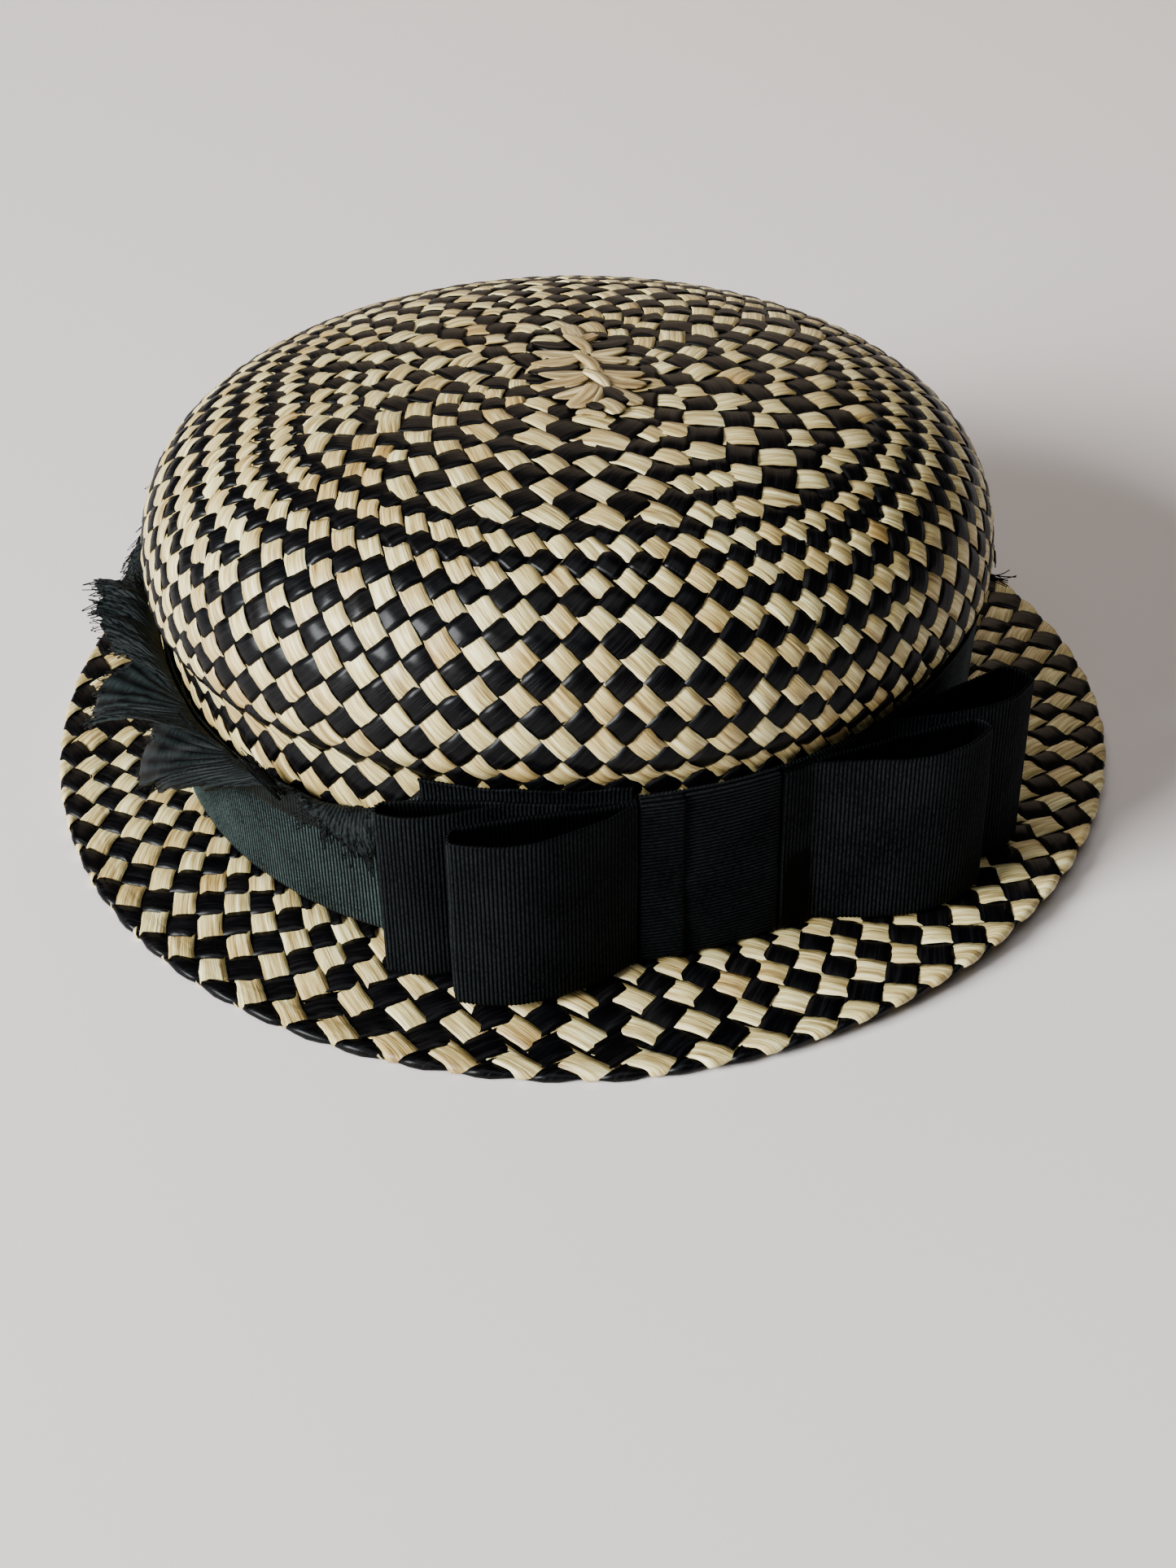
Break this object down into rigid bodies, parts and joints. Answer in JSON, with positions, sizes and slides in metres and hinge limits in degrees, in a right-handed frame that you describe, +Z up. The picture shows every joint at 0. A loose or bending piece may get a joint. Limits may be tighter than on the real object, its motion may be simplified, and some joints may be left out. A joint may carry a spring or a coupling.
{
  "type": "breton hat",
  "caption": "Rounded woven-straw hat with a short, gently waved brim, a wide ribbon band, a flat looped bow at the front and a frayed gathered strip round the back.",
  "frame": {"origin": "on the surface that the hat lies on, below the middle of the brim", "axes": "+Z up through the crown, -Y to the front where the bow is, +X to the right in the front view"},
  "size_m": [0.27, 0.2728, 0.1098],
  "materials": {
    "straw_crown": "two-colour plain weave of cream and black raffia, satin",
    "straw_brim": "two-colour plain weave of cream and black raffia, satin, coarser than the crown's",
    "cream_straw": "cream raffia, satin",
    "grosgrain": "ribbed black grosgrain, matt",
    "frayed_ribbon": "black gathered ribbon with frayed edges, matt"
  },
  "bodies": {
    "root": {"crown": "straw_crown", "brim": "straw_brim", "crown_braid": "cream_straw", "ribbon_band": "grosgrain", "bow_knot": "grosgrain", "left_front_loop": "grosgrain", "left_back_loop": "grosgrain", "right_front_loop": "grosgrain", "right_back_loop": "grosgrain", "ruffle": "frayed_ribbon"}
  },
  "joints": []
}
